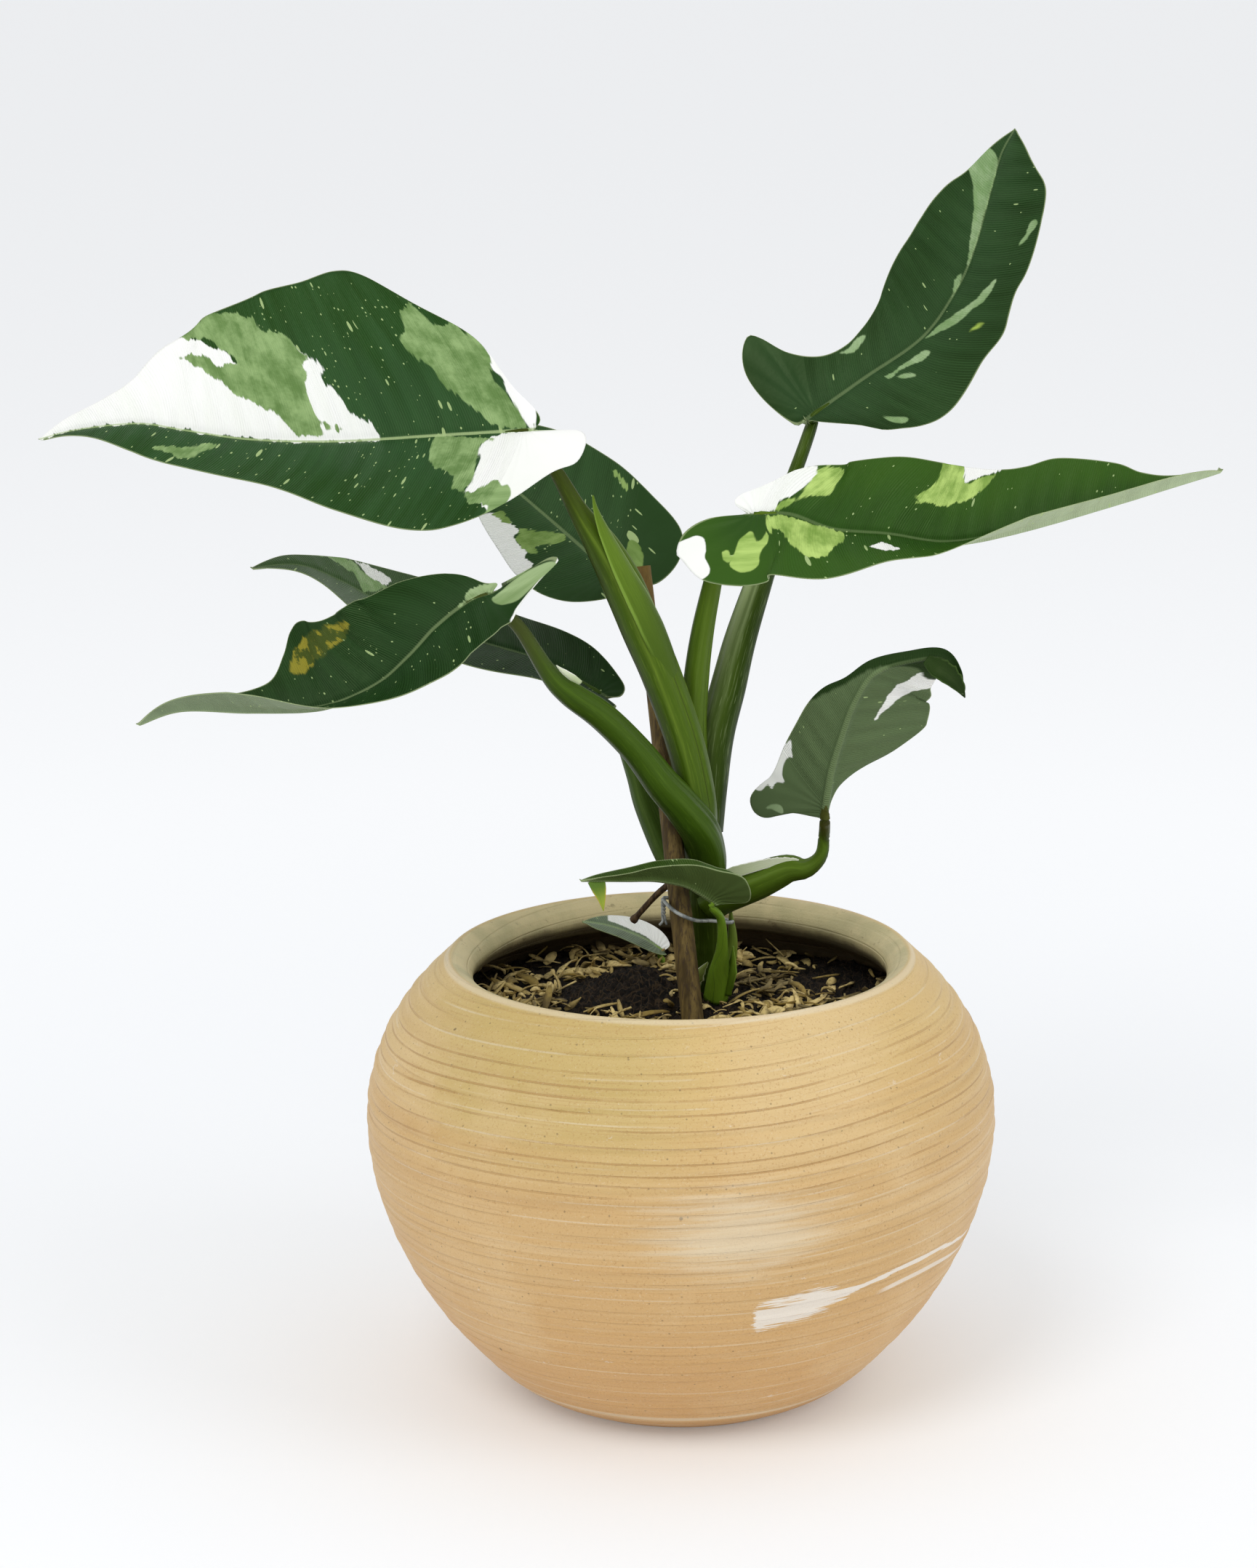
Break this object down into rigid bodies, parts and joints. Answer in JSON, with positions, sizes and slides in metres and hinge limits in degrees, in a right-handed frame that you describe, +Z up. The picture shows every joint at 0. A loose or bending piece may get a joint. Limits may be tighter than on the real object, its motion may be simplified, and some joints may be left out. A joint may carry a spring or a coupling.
{
  "type": "potted plant",
  "caption": "White princess philodendron with variegated leaves on a short stem, tied to a split cane stake, in a round thrown clay pot with wood shavings on the soil.",
  "frame": {"origin": "the centre of the pot's flat foot, on the surface that it stands on", "axes": "+Z is up out of the foot and along the plant, -Y faces the camera, +X is to the right"},
  "size_m": [0.3602, 0.1996, 0.3971],
  "materials": {
    "clay": "satin",
    "soil_mix": "matte",
    "cane": "matte",
    "wire": "satin",
    "dry_stalk": "matte",
    "green_stem": "satin",
    "leaf": "satin"
  },
  "bodies": {
    "root": {"pot": "clay", "soil": "soil_mix", "stake": "cane", "tie_wire": "wire", "old_stalk": "dry_stalk", "main_stem": "green_stem", "base_sheath": "green_stem", "leaf_a_blade": "leaf", "leaf_a_stalk": "green_stem", "leaf_b_blade": "leaf", "leaf_b_stalk": "green_stem", "leaf_c_blade": "leaf", "leaf_c_stalk": "green_stem", "leaf_d_blade": "leaf", "leaf_d_stalk": "green_stem", "leaf_e_blade": "leaf", "leaf_e_stalk": "green_stem", "leaf_f_blade": "leaf", "leaf_f_stalk": "green_stem", "leaf_g_blade": "leaf", "leaf_g_stalk": "green_stem", "leaf_h_blade": "leaf", "leaf_h_stalk": "green_stem", "leaf_i_blade": "leaf", "leaf_i_stalk": "green_stem"}
  },
  "joints": []
}
